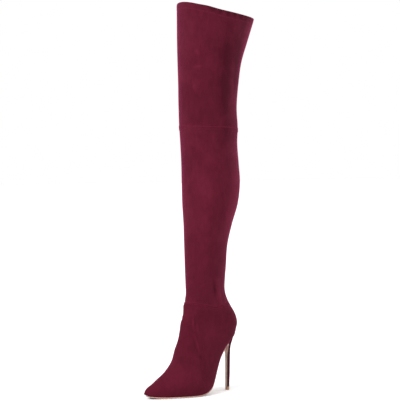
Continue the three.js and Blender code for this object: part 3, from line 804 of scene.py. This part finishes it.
sole_stations = np.arange(1.5, 17.01, 0.25)
s = section_at(sole_stations)
foot_line = s[:, :2]
down = -np.column_stack([np.sin(s[:, 2]), np.cos(s[:, 2])])
square = turned(foot_line)
foot_out_line = down / (down * square).sum(axis=1)[:, None]
front_overhang = between(-0.6, sole_overhang, ease(1.5, 4.5, sole_stations))
waist = np.clip((sole_stations - 9) / 3, 0, 1)
skived = np.clip((4 - sole_stations) / 2.5, 0, 1)
foot_at = foot_line + foot_out_line * (foot_outer + seam_gap)
foot_thickness = between(sole_thickness, waist_thickness, waist) * (1 - 0.45 * skived)
flap_heights = np.linspace(0.77 * heel_height, tip_lift + seam_gap, 46)
flap = heel_at(flap_heights)
flap_at = np.column_stack([flap[:, 2] - flap_thickness, flap_heights])
leave = foot_at[-1] - foot_at[-2]
arrive = flap_at[1] - flap_at[0]
pull_a = foot_at[-1] + leave / np.linalg.norm(leave) * turn_radius
pull_b = flap_at[0] - arrive / np.linalg.norm(arrive) * turn_radius
bend = np.linspace(0, 1, 14)[1:-1]
t = bend[:, None]
bend_line = foot_at[-1] * (1 - t) ** 3 + 3 * pull_a * t * (1 - t) ** 2
bend_line = bend_line + 3 * pull_b * t**2 * (1 - t) + flap_at[0] * t**3


def joined(foot_part, flap_part):
    """A measure of the sole, carried over into the flap through the bend between them."""
    return np.concatenate([foot_part, between(foot_part[-1], flap_part[0], bend), flap_part])


sole_at = np.vstack([foot_at, bend_line, flap_at])
sole_outer = joined(s[:, 7] + front_overhang, flap[:, 1] - flap_inset)
sole_inner = joined(s[:, 8] - front_overhang, -flap[:, 1] - flap_outset)
sole_far = joined(foot_thickness, np.full(len(flap), flap_thickness))
sole_out = turned(sole_at)
sole_out[: len(foot_out_line)] = foot_out_line
sole_out[-1] = (1, 0)
print("sole path of", len(sole_at), "steps")

# %% [markdown]
# The strip's section is flat on the side that is glued and softly rounded at the two edges
# below. The rows at both ends are closed by a fan of faces, so the strip is one solid.

# %% Make the sole
def strip(name, at, out, outer, inner, far, shade_across, round_by=0.9, corner=4):
    """A solid strip along a path, with its far edges rounded, and a painted shade tone stored on its
    far edge, its other faces and its outer side.
    """
    edge_shade, face_shade, side_shade = shade_across
    bends = [math.pi / 2 * k / corner for k in range(1, corner)]
    rings = []
    tones = []
    for step, (p, o, a, b, high) in enumerate(zip(at, out, outer, inner, far)):
        r = min(round_by, 0.42 * high)
        section = [(b, 0.0), (b, high - r)]
        section += [(b + r - r * math.cos(c), high - r + r * math.sin(c)) for c in bends]
        section += [(between(b, a, k), high) for k in np.linspace(0.06, 0.94, 9)]
        section += [(a - r + r * math.sin(c), high - r + r * math.cos(c)) for c in bends]
        section += [(a, high - r), (a, 0.0)]
        section += [(between(a, b, k), 0.0) for k in np.linspace(0.1, 0.9, 7)]
        section.append(section[0])
        ring = []
        for across, thick in section:
            ring.append([p[0] + o[0] * thick, across, max(p[1] + o[1] * thick, 0.0)])
            tone = edge_shade[step] if thick > high - 0.8 * r else face_shade[step]
            tones.append(max(tone, side_shade[step]) if across > a - 0.6 else tone)
        rings.append(ring)
    return closed_loft(name, rings, [*tones, edge_shade[0], edge_shade[-1]])


foot_steps = len(sole_stations)
# Painted shade on the sole: a dark contact shadow on the far edge under the forefoot, a greyer shade
# over the waist and down the flap under the arch, and a dark outer side on the flap beside the shaded
# heel.
under_foot = np.zeros(len(sole_at))
under_foot[:foot_steps] = ease(12.5, 9.5, sole_stations)
flap_side_shade = 0.9 * ease(12, 24, np.arange(len(sole_at)) - foot_steps)
sole_shade = (between(0.36, 0.85, under_foot), between(0.36, 0.0, under_foot), flap_side_shade)
sole = strip("sole_leather", sole_at, sole_out, sole_outer, sole_inner, sole_far, sole_shade)

# %% [markdown]
# ## Insole
# Inside the foot lies a thin covered board, a little smaller than the sole. It is the same
# kind of strip, laid on the last's underside with its rounded edges upwards.

# %% Make the insole
s = section_at(np.arange(lasted_from, lasted_to + 0.01, 0.25))
insole = strip(
    "sock_lining",
    s[:, :2],
    np.column_stack([np.sin(s[:, 2]), np.cos(s[:, 2])]),
    s[:, 7] - insole_inset,
    s[:, 8] + insole_inset,
    np.full(len(s), insole_thickness),
    np.zeros((3, len(s))),
)

# %% [markdown]
# ## Heel
# The heel block is turned as one smooth shape, flat at the breast and round at the back, and
# it is covered with the same suede, painted much darker as the shade that falls on the heel.
# The seat on top has to fit the curved underside of the upper, which is easiest by cutting: the
# blank is lofted too tall and too far forward, and then the sole's path and the skin of the
# foot are taken away from it.

# %% Make the heel
def cut(piece, cutter):
    """Takes one closed mesh away from another and removes the cutter."""
    tool = piece.modifiers.new("cut", "BOOLEAN")
    tool.operation = "DIFFERENCE"
    tool.solver = "EXACT"
    tool.object = cutter
    baked(piece, tool)
    bpy.data.objects.remove(cutter)


def heel_ring(height, half_width, breast, back, ahead, steps=20):
    a = np.linspace(0, math.pi / 2, steps + 1)
    x = breast - (breast - back) * np.cos(a)
    y = half_width * np.sin(a)
    side = np.column_stack([x, y])
    corner = [[breast + ahead, half_width], [breast + ahead, -half_width]]
    other = np.column_stack([x, -y])[::-1]
    flat = np.vstack([side, corner, other])
    return np.column_stack([flat, np.full(len(flat), height)])


heights = np.linspace(tip_lift + seam_gap, 1.09 * heel_height, 72)
levels = heel_at(heights)
levels[:, 3] -= heel_fullness * ease(8, 36, heights) * ease(108, 62, heights)
blank = [heel_ring(z, *row[1:], turn_radius) for z, row in zip(heights, levels)]
heel = closed_loft("heel_cover", blank)

seat_from = 12
seat_to = 25
first = int(np.argmax(sole_stations >= seat_from))
front = sole_at[first:] - sole_out[first:] * seam_gap
outline = np.vstack([front, [[front[-1, 0], -400], [400, -400], [400, front[0, 1]]], front[:1]])
prism = [np.insert(outline, 1, y, axis=1) for y in (-80, 80)]
cut(heel, closed_loft("front_cutter", prism))

seat_skin, seat_out = skin_at(straight_rows(seat_from, seat_to))
seat_rows = seat_skin + seat_out * (foot_outer + seam_gap)
seat_rows[:, [0, -1]] = (seat_rows[:, [0]] + seat_rows[:, [-1]]) / 2
cut(heel, closed_loft("seat_cutter", seat_rows))
bm = bmesh.new()
bm.from_mesh(heel.data)
bmesh.ops.remove_doubles(bm, verts=bm.verts, dist=2e-6)
for edge in bm.edges:
    edge.smooth = len(edge.link_faces) == 2 and edge.calc_face_angle(0) < math.radians(35)
for face in bm.faces:
    face.smooth = True
bm.to_mesh(heel.data)
bm.free()
print("heel cover has", len(heel.data.polygons), "faces")

# %% [markdown]
# ## Top lift
# The top lift is the small wearing piece at the tip of the heel. It has the heel's own outline,
# and its edges are slightly broken so that it doesn't chip.

# %% Make the top lift
tip = heel_levels[0]
lift_rings = []
for z, inset in ((0, 0.5), (0.12, 0.25), (0.45, 0), (6.1, 0), (6.4, 0.12), (6.5, 0.3)):
    scale = 1 - inset / tip[1]
    ring = heel_ring(z, tip[1] * scale, tip[2] * scale, tip[3] * scale, 0.01, steps=24)
    lift_rings.append(np.vstack([ring, ring[:1]]))
top_lift = closed_loft("heel_lift", lift_rings)

# %% [markdown]
# ## Stitches
# Stitches repeat along a path, so a small node tree makes them: it turns a line into evenly
# spaced points, puts a short rounded thread at each point, and turns it to lie along the line.
# The tree has inputs for pitch, length and thickness, so one tree serves every seam.

# %% Build the stitch tree
def stitch_nodes():
    tree = bpy.data.node_groups.new("stitch_row", "GeometryNodeTree")
    for label, kind in (
        ("Geometry", "NodeSocketGeometry"),
        ("Pitch", "NodeSocketFloat"),
        ("Length", "NodeSocketFloat"),
        ("Thickness", "NodeSocketFloat"),
        ("Thread", "NodeSocketMaterial"),
    ):
        tree.interface.new_socket(label, in_out="INPUT", socket_type=kind)
    tree.interface.new_socket("Geometry", in_out="OUTPUT", socket_type="NodeSocketGeometry")
    kinds = {
        "given": "NodeGroupInput",
        "curve": "GeometryNodeMeshToCurve",
        "spaced": "GeometryNodeResampleCurve",
        "points": "GeometryNodeCurveToPoints",
        "bead": "GeometryNodeMeshUVSphere",
        "size": "ShaderNodeCombineXYZ",
        "shaped": "GeometryNodeTransform",
        "turn": "FunctionNodeAlignRotationToVector",
        "copies": "GeometryNodeInstanceOnPoints",
        "smooth": "GeometryNodeSetShadeSmooth",
        "real": "GeometryNodeRealizeInstances",
        "thread": "GeometryNodeSetMaterial",
        "result": "NodeGroupOutput",
    }
    nodes = {label: tree.nodes.new(kind) for label, kind in kinds.items()}
    nodes["spaced"].mode = "LENGTH"
    nodes["points"].mode = "EVALUATED"
    nodes["turn"].axis = "Z"
    for label, value in (("Segments", 8), ("Rings", 6), ("Radius", 0.5)):
        nodes["bead"].inputs[label].default_value = value
    for start, output, end, entry in (
        ("given", "Geometry", "curve", "Mesh"),
        ("curve", "Curve", "spaced", "Curve"),
        ("given", "Pitch", "spaced", "Length"),
        ("spaced", "Curve", "points", "Curve"),
        ("given", "Thickness", "size", "X"),
        ("given", "Thickness", "size", "Y"),
        ("given", "Length", "size", "Z"),
        ("bead", "Mesh", "shaped", "Geometry"),
        ("size", "Vector", "shaped", "Scale"),
        ("points", "Tangent", "turn", "Vector"),
        ("points", "Points", "copies", "Points"),
        ("shaped", "Geometry", "copies", "Instance"),
        ("turn", "Rotation", "copies", "Rotation"),
        ("copies", "Instances", "smooth", "Geometry"),
        ("smooth", "Geometry", "real", "Geometry"),
        ("real", "Geometry", "thread", "Geometry"),
        ("given", "Thread", "thread", "Material"),
        ("thread", "Geometry", "result", "Geometry"),
    ):
        tree.links.new(nodes[start].outputs[output], nodes[end].inputs[entry])
    return tree


stitch_tree = stitch_nodes()
entries = [item for item in stitch_tree.interface.items_tree if item.in_out == "INPUT"]
stitch_sockets = {item.name: item.identifier for item in entries}


def stitch_row(name, line, pitch, length, thickness):
    """A row of real stitches round a closed line of points, as one plain mesh."""
    mesh = bpy.data.meshes.new(name)
    edges = [(k, (k + 1) % len(line)) for k in range(len(line))]
    mesh.from_pydata([tuple(p) for p in line * 0.001], edges, [])
    piece = put(name, mesh)
    maker = piece.modifiers.new("stitches", "NODES")
    maker.node_group = stitch_tree
    for label, size in (("Pitch", pitch), ("Length", length), ("Thickness", thickness)):
        maker[stitch_sockets[label]] = size * 0.001
    maker[stitch_sockets["Thread"]] = thread
    baked(piece, maker)
    print(name, len(piece.data.polygons), "faces")
    return piece


print("stitch tree has", len(stitch_tree.nodes), "nodes")

# %% [markdown]
# ## Suede
# Suede is the fuzzy flesh side of leather, or here a woven cloth with a raised nap. Brushing
# the nap one way or the other turns it lighter or darker in soft patches, and its loose fibres
# catch light at the edge of the form. The patches and the fibres come from one shared group of
# nodes. The glow at the edges is partly the sheen of the shader, set on each material itself,
# and partly a painted rim highlight: a pink mixed into the base colour where the surface turns
# away from the camera.

# %% Build the nap group
def feed(tree, node, values):
    """Links sockets and sets plain values on inputs of a node. A triple is an opaque colour."""
    for label, value in values.items():
        if isinstance(value, bpy.types.NodeSocket):
            tree.links.new(value, node.inputs[label])
        else:
            colour = isinstance(value, tuple)
            node.inputs[label].default_value = (*value, 1) if colour else value


def noise(tree, vector, scale, detail=3.0, roughness=0.5, distortion=0.0):
    node = tree.nodes.new("ShaderNodeTexNoise")
    feed(tree, node, {"Vector": vector, "Scale": scale, "Detail": detail})
    feed(tree, node, {"Roughness": roughness, "Distortion": distortion})
    return node.outputs["Fac"]


def stretched(tree, vector, scale):
    node = tree.nodes.new("ShaderNodeMapping")
    node.inputs["Scale"].default_value = scale
    tree.links.new(vector, node.inputs["Vector"])
    return node.outputs["Vector"]


def sums(tree, kind, a, b, clamp=False):
    node = tree.nodes.new("ShaderNodeMath")
    node.operation = kind
    node.use_clamp = clamp
    feed(tree, node, {0: a, 1: b})
    return node.outputs[0]


def mapped(tree, value, low, high, to_low, to_high):
    node = tree.nodes.new("ShaderNodeMapRange")
    node.interpolation_type = "SMOOTHSTEP"
    feed(tree, node, {"Value": value, "From Min": low, "From Max": high})
    feed(tree, node, {"To Min": to_low, "To Max": to_high})
    return node.outputs["Result"]


nap_group = bpy.data.node_groups.new("suede_nap", "ShaderNodeTree")
new_socket = nap_group.interface.new_socket
new_socket("Vector", in_out="INPUT", socket_type="NodeSocketVector")
for label in ("Patch", "Brush", "Fibre"):
    new_socket(label, in_out="INPUT", socket_type="NodeSocketFloat")
for label in ("Shade", "Height", "Roughness"):
    new_socket(label, in_out="OUTPUT", socket_type="NodeSocketFloat")
given = nap_group.nodes.new("NodeGroupInput")
result = nap_group.nodes.new("NodeGroupOutput")
vector = given.outputs["Vector"]
patch = mapped(nap_group, noise(nap_group, vector, 16, 3, 0.55, 0.4), 0.35, 0.68, -0.5, 0.5)
brush_vector = stretched(nap_group, vector, (1.0, 1.0, 0.42))
brush = mapped(nap_group, noise(nap_group, brush_vector, 120, 4, 0.6, 0.8), 0.3, 0.7, -0.5, 0.5)
fibre = mapped(nap_group, noise(nap_group, vector, 1700, 2, 0.6), 0.25, 0.75, -0.5, 0.5)
clouds = {"Patch": patch, "Brush": brush, "Fibre": fibre}
a, b, c = [
    sums(nap_group, "MULTIPLY", cloud, given.outputs[label]) for label, cloud in clouds.items()
]
shade = sums(nap_group, "ADD", sums(nap_group, "ADD", a, b), c)
shade = sums(nap_group, "ADD", shade, 0.5, clamp=True)
height = sums(nap_group, "ADD", sums(nap_group, "MULTIPLY", brush, 0.5), fibre)
roughness = mapped(nap_group, shade, 0, 1, 0.96, 0.86)
feed(nap_group, result, {"Shade": shade, "Height": height, "Roughness": roughness})
print("nap group has", len(nap_group.nodes), "nodes")

# %% [markdown]
# Each suede material places that group with its own amounts, mixes a dark and a light shade
# with it, mixes in the painted rim highlight, and sets the sheen. The foot's suede is set
# slightly darker than the shaft's. The heel's suede is set much darker, with little sheen, as
# painted shade, for the heel stands in shadow.

# %% Make the suede materials
def new_material(name, look):
    material = bpy.data.materials.new(name)
    material.use_nodes = True
    material.diffuse_color = (*look, 1)
    tree = material.node_tree
    shader = tree.nodes["Principled BSDF"]
    place = tree.nodes.new("ShaderNodeTexCoord").outputs["Object"]
    return material, tree, shader, place


def mix_colours(tree, share, dark, light):
    node = tree.nodes.new("ShaderNodeMix")
    node.data_type = "RGBA"
    feed(tree, node, {"Factor": share, "A": dark, "B": light})
    return node.outputs["Result"]


def add_bump(tree, shader, height, distance, strength):
    node = tree.nodes.new("ShaderNodeBump")
    feed(tree, node, {"Height": height, "Distance": distance, "Strength": strength})
    feed(tree, shader, {"Normal": node.outputs["Normal"]})


def painted_tone(tree):
    """The tone that was stored on the points of the mesh: painted light and shade, and on the thigh
    also the nap's mottle.
    """
    node = tree.nodes.new("ShaderNodeAttribute")
    node.attribute_name = "tone"
    return node.outputs["Fac"]


# Painted rim highlight: a pink mixed into the suede's colour at its grazing edges.
painted_rim_highlight = (0.27, 0.011, 0.062)
burgundy_sheen = (0.9, 0.05, 0.32)


def suede(name, dark, light, sheen, sheen_tint=burgundy_sheen, brush=0.22):
    material, tree, shader, place = new_material(name, light)
    nap = tree.nodes.new("ShaderNodeGroup")
    nap.node_tree = nap_group
    feed(tree, nap, {"Vector": place, "Patch": 0.3, "Brush": brush, "Fibre": 0.2})
    share = sums(tree, "ADD", nap.outputs["Shade"], painted_tone(tree), clamp=True)
    # Painted rim highlight where the surface turns away from the camera.
    edge = tree.nodes.new("ShaderNodeLayerWeight")
    feed(tree, edge, {"Blend": 0.5})
    rim_highlight_share = mapped(tree, edge.outputs["Facing"], 0.8, 1.0, 0.0, 1.0)
    colour = mix_colours(tree, rim_highlight_share, mix_colours(tree, share, dark, light), painted_rim_highlight)
    feed(tree, shader, {"Base Color": colour, "Roughness": nap.outputs["Roughness"]})
    feed(tree, shader, {"Sheen Weight": sheen, "Sheen Roughness": 0.32})
    feed(tree, shader, {"Sheen Tint": sheen_tint, "Specular IOR Level": 0.05})
    add_bump(tree, shader, nap.outputs["Height"], 0.00035, 0.4)
    return material


foot_suede = suede("foot_suede", (0.044, 0.0034, 0.0085), (0.086, 0.0072, 0.018), 0.28)
shaft_suede = suede("shaft_suede", (0.045, 0.0036, 0.0095), (0.092, 0.0082, 0.0205), 0.36)
# Painted shade: the heel's suede is the shaft's suede made much darker and almost without sheen,
# because the heel stands in shadow.
heel_suede_painted_shade = suede(
    "heel_suede_painted_shade", (0.03, 0.0028, 0.008), (0.055, 0.0055, 0.014), 0.08, (0.7, 0.08, 0.3), 0.4
)
print("three suedes made")

# %% [markdown]
# ## Lining, leather, thread and lift
# The inside is lined with a fine knit, whose loops are two crossed waves. The sole is pale
# leather with faint clouds and pores. The sock is soft leather, the lift is hard plastic with a
# fine scuffed surface, and the thread has a fine grain.

# %% Make the other materials
def wave(tree, vector, direction, scale):
    node = tree.nodes.new("ShaderNodeTexWave")
    node.wave_type = "BANDS"
    node.bands_direction = direction
    feed(tree, node, {"Vector": vector, "Scale": scale, "Distortion": 0.6})
    return node.outputs["Fac"]


def lining():
    material, tree, shader, place = new_material("knit_lining", (0.05, 0.012, 0.02))
    loops = sums(
        tree, "MULTIPLY", wave(tree, place, "Z", 260), wave(tree, place, "DIAGONAL", 190)
    )
    colour = mix_colours(tree, loops, (0.028, 0.006, 0.011), (0.085, 0.018, 0.032))
    roughness = mapped(tree, loops, 0, 1, 0.95, 0.75)
    feed(tree, shader, {"Base Color": colour, "Roughness": roughness, "Sheen Weight": 0.2})
    add_bump(tree, shader, loops, 0.0002, 0.5)
    return material


# Painted shade colour: the stored tone mixes the leather towards it. On the sole it paints the contact
# shadow and the shade under the arch.
painted_shade_colour = (0.05, 0.035, 0.03)


def leather(name, dark, light, scale, low_rough, high_rough, pores=900, depth=0.00012):
    material, tree, shader, place = new_material(name, light)
    clouds = mapped(tree, noise(tree, place, scale, 5, 0.6), 0.3, 0.7, 0, 1)
    clean = mix_colours(tree, clouds, dark, light)
    # Painted shade, mixed in by the stored tone.
    colour = mix_colours(tree, painted_tone(tree), clean, painted_shade_colour)
    roughness = mapped(tree, clouds, 0, 1, high_rough, low_rough)
    feed(tree, shader, {"Base Color": colour, "Roughness": roughness})
    cells = tree.nodes.new("ShaderNodeTexVoronoi")
    feed(tree, cells, {"Vector": place, "Scale": pores})
    grain = sums(tree, "ADD", cells.outputs["Distance"], noise(tree, place, pores * 2, 3))
    add_bump(tree, shader, grain, depth, 0.35)
    return material


knit_lining = lining()
sole_leather = leather("pale_sole", (0.46, 0.26, 0.2), (0.6, 0.38, 0.31), 60, 0.4, 0.62)
sock_leather = leather("sock_leather", (0.42, 0.27, 0.19), (0.55, 0.38, 0.28), 45, 0.55, 0.8, 700)
lift_plastic = leather(
    "lift_plastic", (0.26, 0.12, 0.065), (0.36, 0.17, 0.095), 220, 0.32, 0.5, 1600, 0.00006
)
thread = leather(
    "thread", (0.07, 0.006, 0.017), (0.13, 0.012, 0.034), 1500, 0.6, 0.9, 3000, 0.00005
)
feed(thread.node_tree, thread.node_tree.nodes["Principled BSDF"], {"Specular IOR Level": 0.08})
print(len(bpy.data.materials), "materials")

# %% [markdown]
# The two shafts and the foot carry suede outside and lining inside, so they get two slots. The
# faces were marked when the walls were made.

# %% Dress the pieces
def dress(piece, *materials):
    piece.data.materials.clear()
    for material in materials:
        piece.data.materials.append(material)


dress(foot_upper, foot_suede, knit_lining)
dress(lower_shaft, shaft_suede, knit_lining)
dress(thigh_shaft, shaft_suede, knit_lining)
dress(sole, sole_leather)
dress(insole, sock_leather)
dress(heel, heel_suede_painted_shade)
dress(top_lift, lift_plastic)
print("pieces dressed")

# %% [markdown]
# ## Sewing
# One row holds the hem at the collar, two rows flatten the rib under the knee, and one row
# runs just below the top line of the foot. Each row lies on the finished surface, in the
# shallow groove that its own tension makes.

# %% Sew the rows
def row_on(rows, drop_table, want):
    """The points of a finished grid at a given distance below a seam line."""
    line = []
    for k in range(rows.shape[1]):
        order = np.argsort(drop_table[:, k])
        point = [np.interp(want, drop_table[order, k], rows[order, k, axis]) for axis in range(3)]
        line.append(point)
    return np.array(line)[:-1]


above_skin = 0.1
hem = (thigh_outer + thigh_out * above_skin, below(collar_line, thigh_skin))
knee_rib = (shaft_outer + shaft_out * above_skin, below(knee_line, shaft_skin))
tail = slice(len(foot_stations) - len(topline_drops) - 6, None)
foot_edge = (foot_outer_rows + foot_out * above_skin)[tail], below(ankle_line, foot_skin)[tail]
# name, surface, distance below the seam line, pitch, length, thickness, finish
sewing = [
    ("collar_stitches", hem, hem_height, 3.0, 2.2, 0.5, "shaft_suede"),
    ("knee_stitches_upper", knee_rib, 2.4, 3.0, 2.2, 0.5, "shaft_suede"),
    ("knee_stitches_lower", knee_rib, 7.4, 3.0, 2.2, 0.5, "shaft_suede"),
    ("ankle_stitches", foot_edge, 2.6, 2.6, 1.9, 0.45, "foot_suede"),
]
stitches = [
    (stitch_row(name, row_on(*surface, want), *sizes), finish)
    for name, surface, want, *sizes, finish in sewing
]

# %% [markdown]
# ## Tie the pieces to the model
# Every piece says which measured solid it stands for, which is then hidden, and which body it
# moves with. The table also names a finish of the record for each piece, but nothing here
# reads it.

# %% Tie the pieces
ties = [
    (foot_upper, "foot_upper", "foot_suede"),
    (lower_shaft, "lower_shaft", "shaft_suede"),
    (thigh_shaft, "thigh_shaft", "shaft_suede"),
    (sole, "outsole", "sole"),
    (heel, "heel", "heel_cover"),
    (top_lift, "top_lift", "lift"),
    (insole, "insole", "sock"),
]
for piece, node, finish in ties:
    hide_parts(node)
    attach(piece, "root")
for piece, finish in stitches:
    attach(piece, "root")
print(len(ties) + len(stitches), "pieces tied")

# %% [markdown]
# ## Floor, light and camera
# The boot stands on a plain white floor. Large soft lights and a bright room keep shadows
# faint, as in a shop photograph. The camera stands low and far off, to the outer front side of
# the boot, with a long lens so that the tall shaft keeps its shape.

# %% Set the floor and the light
def aimed(thing, place, towards):
    """Puts a lamp or the camera at a place and turns it in a direction."""
    thing.location = place
    thing.rotation_mode = "QUATERNION"
    thing.rotation_quaternion = Vector(towards).to_track_quat("-Z", "Y")


def soft_light(name, place, aim, power):
    data = bpy.data.lights.new(name, "AREA")
    data.shape = "RECTANGLE"
    data.size = 1.0
    data.size_y = 1.4
    data.energy = power
    aimed(put(name, data), place, Vector(aim) - Vector(place))


floor_half = 14
floor_lines = np.linspace(-floor_half, floor_half, 13)
floor_mesh = bpy.data.meshes.new("floor")
corners = [(x, y, 0.0) for y in floor_lines for x in floor_lines]
floor_numbers = np.arange(len(corners)).reshape(len(floor_lines), -1)
floor_mesh.from_pydata(corners, [], grid_faces(floor_numbers)[0])
plane = put("floor", floor_mesh)
white_floor, tree, shader, place = new_material("white_floor", (0.82, 0.82, 0.82))
white = mix_colours(tree, noise(tree, place, 3, 2), (0.815, 0.815, 0.815), (0.825, 0.825, 0.825))
feed(tree, shader, {"Base Color": white, "Roughness": 0.8, "Specular IOR Level": 0.1})
dress(plane, white_floor)

world = bpy.data.worlds.new("bright_room")
world.use_nodes = True
feed(world.node_tree, world.node_tree.nodes["Background"], {"Color": (1, 1, 1), "Strength": 1.0})
bpy.context.scene.world = world
sun = bpy.data.lights.new("window", "SUN")
sun.energy = 3.0
sun.angle = math.radians(35)
aimed(put("window", sun), (0, 0, 0), (-0.79, -0.2, -0.57))
soft_light("rim_right", (-1.8, 0.3, 0.9), (0.04, 0, 0.4), 22)
soft_light("rim_left", (0.8, -2.0, 0.9), (0.04, 0, 0.4), 8)
bpy.context.scene.view_settings.view_transform = "Standard"
print("floor and lights set")

# %% [markdown]
# The camera uses a long lens from nearly three metres away, at half the boot's height, so the
# upright lines of the shaft stay upright as they do in a catalogue picture.

# %% Place the camera
camera_data = bpy.data.cameras.new("camera")
camera_data.sensor_width = 36
camera_data.lens = 130.5
camera_data.clip_end = 60
camera = put("camera", camera_data)
camera_place = Vector((1.8304, 2.2852, 0.490))
view = Vector((0.0612, -0.0126, 0.386)) - camera_place
aimed(camera, camera_place, view)
bpy.context.scene.camera = camera
print("camera", round(view.length, 2), "m from the boot")
